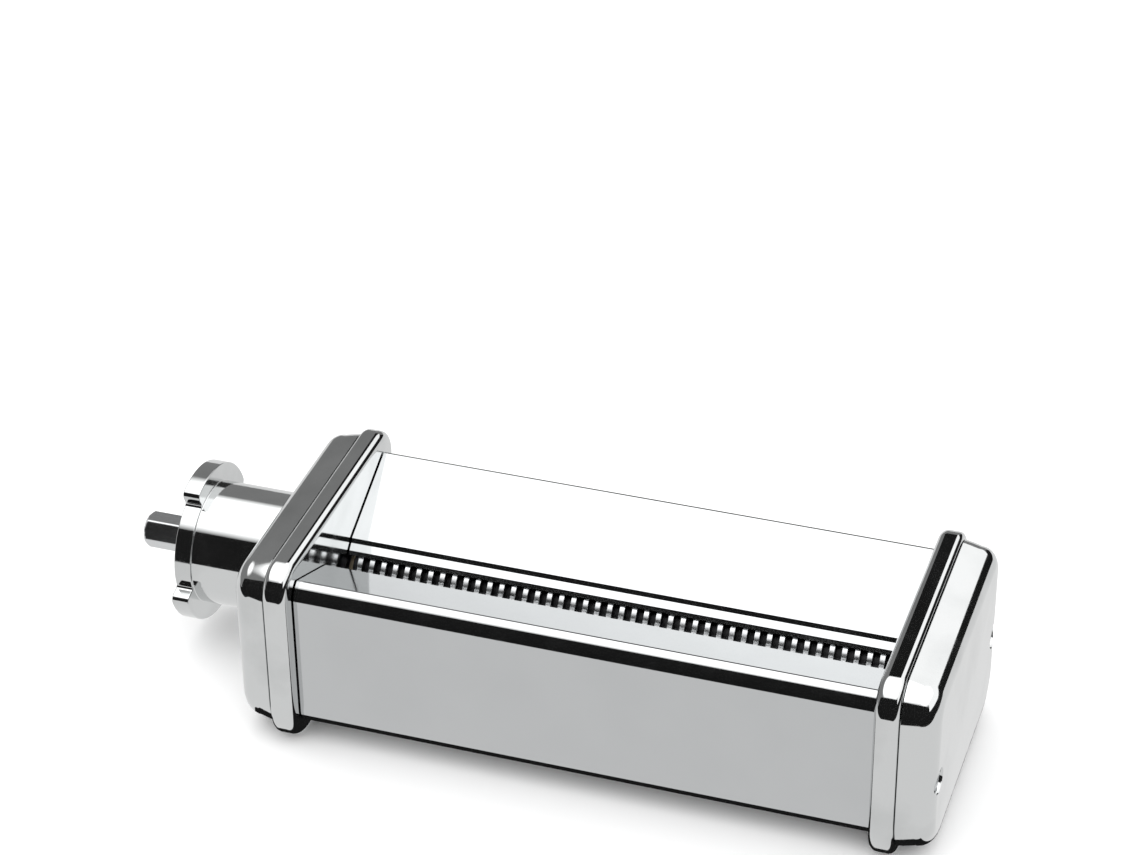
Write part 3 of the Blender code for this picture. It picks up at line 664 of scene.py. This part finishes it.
def make_barrel():
    """The hub: a sleeve with a lugged flange, a seat for the shaft's bush and a bore."""
    flange_x, rear_x = BARREL_LOW.x, BARREL_HIGH.x
    back_x = flange_x + FLANGE_WIDTH
    seat_x = flange_x + SEAT_DEPTH
    outline = lug_outline()
    turns = [atan2(z - AXIS_Z, y - AXIS_HALF) for y, z in outline]
    front = []
    for angle in quarter(6):
        front.append((flange_x + LUG_EDGE * (1 - cos(angle)),
                      inset_outline(outline, LUG_EDGE * (1 - sin(angle)))))
    back = [(flange_x + back_x - x, points) for x, points in front[::-1]]
    profile = filleted([(back_x, BARREL_RADIUS + FINE_EDGE, 0), (back_x, BARREL_RADIUS, FINE_EDGE),
                        (rear_x, BARREL_RADIUS, SOFT_EDGE), (rear_x, BORE_RADIUS, FINE_EDGE),
                        (seat_x, BORE_RADIUS, 0), (seat_x, SEAT_RADIUS, 0),
                        (flange_x, SEAT_RADIUS, SOFT_EDGE), (flange_x, SEAT_RADIUS + SEAT_RIM, 0)], 5)
    round_part = []
    for x, radius in profile:
        points = [(AXIS_HALF + radius * cos(a), AXIS_Z + radius * sin(a)) for a in turns]
        round_part.append((x, points))
    add_piece("hub_barrel", loft(front + back + round_part, closed=True))


def make_hub_bush():
    start_x = BARREL_LOW.x + HUB_BUSH_INSET
    profile = filleted([(start_x, HUB_BUSH_FACE, 0), (start_x, HUB_BUSH_RADIUS, SOFT_EDGE),
                        (start_x + HUB_BUSH_LENGTH, HUB_BUSH_RADIUS, 0)], 4)
    add_piece("hub_shaft_bush", turned(profile, ROUND, AXIS_HALF, AXIS_Z, bore=JOURNAL_RADIUS + CLEARANCE))


# Screws, rods, bushes and clips

def cross_recess(head_x, direction, size, y, z):
    """The cross recess of a screw head: two crossed wedges."""
    wedges = []
    for across, along in ((size, size * RECESS_SLOT), (size * RECESS_SLOT, size)):
        mouth = [(y + across, z + along), (y - across, z + along), (y - across, z - along),
                 (y + across, z - along)]
        floor = [(y + (a - y) * RECESS_FLOOR, z + (b - z) * RECESS_FLOOR) for a, b in mouth]
        wedges.append(loft([(head_x - direction * FINE_EDGE, mouth),
                            (head_x + direction * RECESS_DEPTH, floor)]))
    return wedges


def make_screw(node, direction):
    """A screw with a domed head and a cross recess. Its shank runs in the given X direction."""
    low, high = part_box(node)
    y, z = (low.y + high.y) / 2, (low.z + high.z) / 2
    head_x, end_x = (low.x, high.x) if direction > 0 else (high.x, low.x)
    neck_x = head_x + direction * HEAD_THICKNESS
    head = (high.z - low.z) / 2
    profile = []
    for angle in quarter(6):
        profile.append((head_x + direction * HEAD_DOME * (1 - cos(angle)),
                        head * (HEAD_FACE + (1 - HEAD_FACE) * sin(angle))))
    profile += [(neck_x, head), (neck_x, SHANK_RADIUS), (end_x - direction * SHANK_CHAMFER, SHANK_RADIUS),
                (end_x, SHANK_RADIUS * SHANK_FACE)]
    recess = cross_recess(head_x, direction, head * RECESS_REACH, y, z)
    add_piece(node, turned(profile, SMALL_ROUND, y, z), recess)


def make_screws():
    for place in ("front", "rear"):
        make_screw(f"hub_side_cover_screw_{place}", 1)
        make_screw(f"far_side_cover_screw_{place}", -1)
    for number in (1, 2, 3):
        make_screw(f"hub_barrel_screw_{number}", -1)


def make_rod(node):
    """A rod with a round head at its far end and a nut at the other."""
    low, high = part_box(node)
    y, z, radius = rod_place(node)
    wide = radius * ROD_HEAD
    neck_x = high.x - ROD_HEAD_LENGTH
    profile = filleted([(high.x, wide * ROD_FACE, 0), (high.x, wide, ROD_HEAD_EDGE),
                        (neck_x, wide, FINE_EDGE), (neck_x, radius, 0),
                        (low.x, radius, BROAD_EDGE), (low.x, radius * ROD_FACE, 0)], 5)
    add_piece(node, turned(profile, SMALL_ROUND, y, z))
    low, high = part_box(node + "_nut")
    flats = 2 * wide * cos(pi / 6)
    inside = circle(radius + PLAY, SMALL_ROUND, y, z, turn=pi / 2)
    outer = [(low.x, wide * NUT_FACE), (low.x + NUT_CHAMFER, wide), (high.x - NUT_CHAMFER, wide),
             (high.x, wide * NUT_FACE)]
    sections = [(x, hexagon(flats, corner, SMALL_ROUND, y, z)) for x, corner in outer]
    add_piece(node + "_nut", loft(sections + [(high.x, inside), (low.x, inside)], closed=True))


def make_rods():
    for node in ("front_tie_rod", "rear_tie_rod", "front_comb_rod", "rear_comb_rod"):
        make_rod(node)


def make_bushes():
    for end, side in (("hub_side", -1), ("far_side", 1)):
        for place, y in (("front", -AXIS_HALF), ("rear", AXIS_HALF)):
            node = f"{end}_{place}_bush"
            low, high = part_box(node)
            inner_x, outer_x = (high.x, low.x) if side < 0 else (low.x, high.x)
            flange_x = outer_x - side * BUSH_FLANGE_WIDTH
            profile = filleted([(inner_x, BUSH_FACE, 0), (inner_x, BUSH_RADIUS, FINE_EDGE),
                                (flange_x, BUSH_RADIUS, 0), (flange_x, BUSH_FLANGE, HAIR_EDGE),
                                (outer_x, BUSH_FLANGE, FINE_EDGE), (outer_x, BUSH_FLANGE_FACE, 0)], 4)
            add_piece(node, turned(profile, ROUND, y, AXIS_Z, bore=SHAFT_RADIUS + CLEARANCE))


def make_clips():
    for place, y in (("front", -AXIS_HALF), ("rear", AXIS_HALF)):
        for end in ("gear", "far"):
            node = f"{place}_{end}_clip"
            low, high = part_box(node)
            profile = filleted([(low.x, CLIP_FACE, 0), (low.x, CLIP_RADIUS, HAIR_EDGE),
                                (high.x, CLIP_RADIUS, HAIR_EDGE), (high.x, CLIP_FACE, 0)], 3)
            add_piece(node, turned(profile, ROUND, y, AXIS_Z, bore=SHAFT_RADIUS - CLIP_GROOVE + GAP))


# Combs, rollers and shafts

def make_comb(node, side):
    """A strip with one finger for each groove of its roller. side is -1 at the front."""
    low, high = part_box(node)
    tip_y, back_y = sorted((abs(low.y), abs(high.y)))
    root_y = AXIS_HALF + COMB_ROOT
    rings = RING_COUNTS["front_cutting_roller" if side < 0 else "rear_cutting_roller"]
    half = COMB_FINGER / 2
    tip_half = half * COMB_TAPER
    start = MIDDLE_X - (rings / 2 - 1) * RING_PITCH
    corners = [(low.x, back_y, 0), (low.x, root_y, SOFT_EDGE)]
    for k in range(rings - 1):
        middle = start + k * RING_PITCH
        corners += [(middle - half, root_y, BROAD_EDGE), (middle - tip_half, tip_y, FINE_EDGE),
                    (middle + tip_half, tip_y, FINE_EDGE), (middle + half, root_y, BROAD_EDGE)]
    corners += [(high.x, root_y, SOFT_EDGE), (high.x, back_y, 0)]
    made = bmesh.new()
    face = made.faces.new([made.verts.new((x, side * y, high.z)) for x, y in filleted(corners, 3)])
    grown = bmesh.ops.extrude_face_region(made, geom=[face])
    moved = [item for item in grown["geom"] if isinstance(item, bmesh.types.BMVert)]
    bmesh.ops.translate(made, verts=moved, vec=(0, 0, low.z - high.z))
    bmesh.ops.recalc_face_normals(made, faces=made.faces)
    add_piece(node, made)


def make_roller(node, y):
    """A cutting roller: rings with broken edges that stand out of a core painted near-black as shade in the
    grooves.
    """
    low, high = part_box(node)
    rings = RING_COUNTS[node]
    first = MIDDLE_X - (rings - 1) / 2 * RING_PITCH
    shoulder = RING_RADIUS - RING_EDGE
    profile = [(low.x, GROOVE_RADIUS)]
    for k in range(rings):
        left = first + k * RING_PITCH - RING_WIDTH / 2
        right = left + RING_WIDTH
        profile += [(left, GROOVE_RADIUS), (left, shoulder), (left + RING_EDGE, RING_RADIUS),
                    (right - RING_EDGE, RING_RADIUS), (right, shoulder), (right, GROOVE_RADIUS)]
    profile.append((high.x, GROOVE_RADIUS))
    roller = add_piece(node, turned(profile, ROUND, y, AXIS_Z, bore=SHAFT_RADIUS + PLAY))
    # The second material paints the shade in the grooves between the rings near-black
    roller.data.materials.append(MATERIALS["painted_groove_shade"])
    for face in roller.data.polygons:
        radius = sqrt((face.center.y - y) ** 2 + (face.center.z - AXIS_Z) ** 2)
        face.material_index = 1 if radius < shoulder - RING_EDGE else 0


def round_section(x, radius, y):
    return x, circle(radius, ROUND, y, AXIS_Z, turn=pi / 2)


def hex_section(x, flats, corner_radius, y):
    return x, hexagon(flats, corner_radius, ROUND, y, AXIS_Z)


def shaft_sections(y, end_x):
    """A shaft from its gear end to its far end, with a hexagon for the gear and two clip grooves."""
    gear_low, gear_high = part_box("rear_gear")
    clip_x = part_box("rear_gear_clip")[0].x - GAP
    far_low, far_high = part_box("rear_far_clip")
    gear_x = gear_high.x + GAP
    far_x = far_low.x - GAP
    groove = SHAFT_RADIUS - CLIP_GROOVE
    steps = [(clip_x, SHAFT_END_RADIUS), (clip_x, groove), (gear_low.x, groove)]
    far_steps = [(gear_x, SHAFT_RADIUS), (far_x, SHAFT_RADIUS), (far_x, groove), (far_high.x + GAP, groove),
                 (far_high.x + GAP, SHAFT_END_RADIUS), (end_x - SOFT_EDGE, SHAFT_END_RADIUS),
                 (end_x, SHAFT_END_RADIUS - SOFT_EDGE)]
    return ([round_section(x, radius, y) for x, radius in steps]
            + [hex_section(x, GEAR_HEX_FLATS, SHAFT_RADIUS, y) for x in (gear_low.x, gear_x)]
            + [round_section(x, radius, y) for x, radius in far_steps])


def make_drive_shaft(y):
    """This shaft starts with the drive hexagon, which has a turned chamfer and a centre hole."""
    tip_x = SHAFT_LOW.x
    journal_x = BARREL_LOW.x + FINE_EDGE
    journal_end = BARREL_LOW.x + JOURNAL_LENGTH
    sections = [round_section(tip_x + depth, radius, y) for depth, radius in CENTRE_HOLE]
    sections += [hex_section(tip_x + depth, HEX_FLATS, radius, y) for depth, radius in HEX_CHAMFER]
    sections += [hex_section(journal_x, HEX_FLATS, HEX_CORNER, y),
                 round_section(journal_x, JOURNAL_RADIUS - FINE_EDGE, y),
                 round_section(journal_x + FINE_EDGE, JOURNAL_RADIUS, y),
                 round_section(journal_end, JOURNAL_RADIUS, y),
                 round_section(journal_end, SHAFT_END_RADIUS, y)]
    add_piece("drive_shaft", loft(sections + shaft_sections(y, SHAFT_HIGH.x)), sharp_angle=25)


def make_plain_shaft(y):
    start = [round_section(PLAIN_SHAFT_LOW.x, SHAFT_END_RADIUS - SOFT_EDGE, y),
             round_section(PLAIN_SHAFT_LOW.x + SOFT_EDGE, SHAFT_END_RADIUS, y)]
    add_piece("front_roller_shaft", loft(start + shaft_sections(y, PLAIN_SHAFT_HIGH.x)), sharp_angle=25)


def dress_gears():
    """The gears keep their CAD teeth and get the rollers' steel."""
    for node in ("front_gear", "rear_gear"):
        mesh = frame["nodes"][node].data
        mesh.materials.clear()
        mesh.materials.append(MATERIALS[slot_of(node)])


# Stage

def emission(name, strength):
    made = bpy.data.materials.new(name)
    made.use_nodes = True
    tree = made.node_tree
    tree.nodes.remove(tree.nodes["Principled BSDF"])
    shader = tree.nodes.new("ShaderNodeEmission")
    shader.inputs["Color"].default_value = (1, 1, 1, 1)
    shader.inputs["Strength"].default_value = strength
    tree.links.new(shader.outputs["Emission"], tree.nodes["Material Output"].inputs["Surface"])
    return made


def add_card(name, corners, made):
    """A flat studio card that only shows in reflections."""
    shape = bmesh.new()
    shape.faces.new([shape.verts.new(corner) for corner in corners])
    card = add_mesh_object(name, shape)
    card.data.materials.append(made)
    card.visible_camera = False
    card.visible_diffuse = False
    card.visible_shadow = False


def add_upright_card(name, azimuths, elevations, distance, made):
    """A flat card at a distance, between two azimuths and two elevations."""
    low, high = [distance * tan(radians(elevation)) for elevation in elevations]
    (x, y), (end_x, end_y) = [(distance * sin(radians(a)), distance * cos(radians(a))) for a in azimuths]
    add_card(name, [(x, y, low), (end_x, end_y, low), (end_x, end_y, high), (x, y, high)], made)


def add_level_card(name, low_x, high_x, low_y, high_y, z, made):
    add_card(name, [(low_x, low_y, z), (high_x, low_y, z), (high_x, high_y, z), (low_x, high_y, z)], made)


def add_front_flags(made):
    """Two black flags in front: one that stands far off, and one on the floor that runs up to it."""
    low_z = FLOOR_Z + FLAG_LIFT
    top_z = -FLAG_FAR_Y * tan(radians(FLAG_ELEVATION))
    foot = [(-FLAG_HALF, FLAG_FAR_Y, low_z), (FLAG_HALF, FLAG_FAR_Y, low_z)]
    add_card("front flag", foot + [(FLAG_HALF, FLAG_FAR_Y, top_z), (-FLAG_HALF, FLAG_FAR_Y, top_z)], made)
    near = [(-FLAG_HALF, FLAG_NEAR_Y, low_z), (FLAG_HALF, FLAG_NEAR_Y, low_z)]
    add_card("front floor flag", near + foot[::-1], made)


def make_floor():
    shape = bmesh.new()
    bmesh.ops.create_grid(shape, x_segments=1, y_segments=1, size=FLOOR_SIZE)
    floor = add_mesh_object("floor", shape)
    floor.location.z = FLOOR_Z
    made = bpy.data.materials.new("pale floor")
    made.use_nodes = True
    shader = made.node_tree.nodes["Principled BSDF"]
    shader.inputs["Base Color"].default_value = (FLOOR_GREY, FLOOR_GREY, FLOOR_GREY, 1)
    shader.inputs["Roughness"].default_value = FLOOR_ROUGHNESS
    shader.inputs["Specular IOR Level"].default_value = 0
    floor.data.materials.append(made)


def make_world():
    """A pale dome for the camera and the floor. In reflections it is dark low down and white overhead."""
    world = bpy.data.worlds.new("studio")
    bpy.context.scene.world = world
    world.use_nodes = True
    tree = world.node_tree
    background = tree.nodes["Background"]
    coordinates = tree.nodes.new("ShaderNodeTexCoord")
    separate = tree.nodes.new("ShaderNodeSeparateXYZ")
    tree.links.new(coordinates.outputs["Generated"], separate.inputs["Vector"])
    ramp = tree.nodes.new("ShaderNodeValToRGB")
    for stop, (place, grey) in zip(ramp.color_ramp.elements, DOME_STOPS):
        stop.position = place
        stop.color = (grey, grey, grey, 1)
    tree.links.new(separate.outputs["Z"], ramp.inputs["Fac"])
    path = tree.nodes.new("ShaderNodeLightPath")
    choose = tree.nodes.new("ShaderNodeMix")
    choose.data_type = "RGBA"
    choose.inputs["A"].default_value = (WORLD_GREY, WORLD_GREY, WORLD_GREY, 1)
    tree.links.new(path.outputs["Is Glossy Ray"], choose.inputs["Factor"])
    tree.links.new(ramp.outputs["Color"], choose.inputs["B"])
    tree.links.new(choose.outputs["Result"], background.inputs["Color"])
    background.inputs["Strength"].default_value = WORLD_STRENGTH


def make_light():
    data = bpy.data.lights.new("soft light", "AREA")
    data.shape = "RECTANGLE"
    data.size, data.size_y = LIGHT_SIZE
    data.energy = LIGHT_POWER
    light = bpy.data.objects.new("soft light", data)
    light.location = LIGHT_PLACE
    light.rotation_euler = (-Vector(LIGHT_PLACE)).to_track_quat("-Z", "Y").to_euler()
    light.visible_glossy = False
    bpy.context.scene.collection.objects.link(light)


def make_studio():
    """A white floor and dome, a soft light, and cards that the polished faces reflect."""
    make_floor()
    make_world()
    cards = {name: emission(name, strength) for name, strength in CARD_STRENGTHS.items()}
    for name, azimuths, elevations, distance, made in UPRIGHT_CARDS:
        add_upright_card(name, azimuths, elevations, distance, cards[made])
    add_level_card("floor glow", -GLOW_HALF, GLOW_HALF, -GLOW_HALF, GLOW_HALF, FLOOR_Z + GLOW_LIFT,
                   cards["floor glow"])
    reach = CASING_HIGH.y + SHADE_REACH
    add_level_card("shade under the housing", HUB_COVER_LOW.x, COVER_HIGH.x, -reach, reach,
                   FLOOR_Z + SHADE_LIFT, cards["black card"])
    add_front_flags(cards["black card"])
    make_light()


def make_camera():
    """The camera stands to the right of the front and looks down on the trough."""
    data = bpy.data.cameras.new("camera")
    data.lens = LENS
    data.sensor_width = SENSOR
    data.shift_x, data.shift_y = CAMERA_SHIFT
    data.clip_start = 0.01
    camera = bpy.data.objects.new("camera", data)
    forward = Vector((-sin(CAMERA_AZIMUTH) * cos(CAMERA_ELEVATION),
                      cos(CAMERA_AZIMUTH) * cos(CAMERA_ELEVATION), -sin(CAMERA_ELEVATION)))
    turn = forward.to_track_quat("-Z", "Y").to_matrix().to_4x4()
    camera.matrix_world = Matrix.Translation(CAMERA_PLACE) @ turn @ Matrix.Rotation(CAMERA_ROLL, 4, "Z")
    bpy.context.scene.collection.objects.link(camera)
    bpy.context.scene.camera = camera


def build():
    make_casing("front_casing", -1)
    make_casing("rear_casing", 1)
    make_frame("hub_side_frame", -1, HUB_FRAME_HIGH.x, HUB_FRAME_LOW.x)
    make_frame("far_side_frame", 1, FAR_FRAME_LOW.x, FAR_FRAME_HIGH.x)
    make_covers()
    make_barrel()
    make_hub_bush()
    make_screws()
    make_rods()
    make_bushes()
    make_clips()
    make_comb("front_comb", -1)
    make_comb("rear_comb", 1)
    make_roller("front_cutting_roller", -AXIS_HALF)
    make_roller("rear_cutting_roller", AXIS_HALF)
    make_drive_shaft(AXIS_HALF)
    make_plain_shaft(-AXIS_HALF)
    dress_gears()
    make_studio()
    make_camera()
    bpy.context.scene.view_settings.view_transform = "Standard"


build()
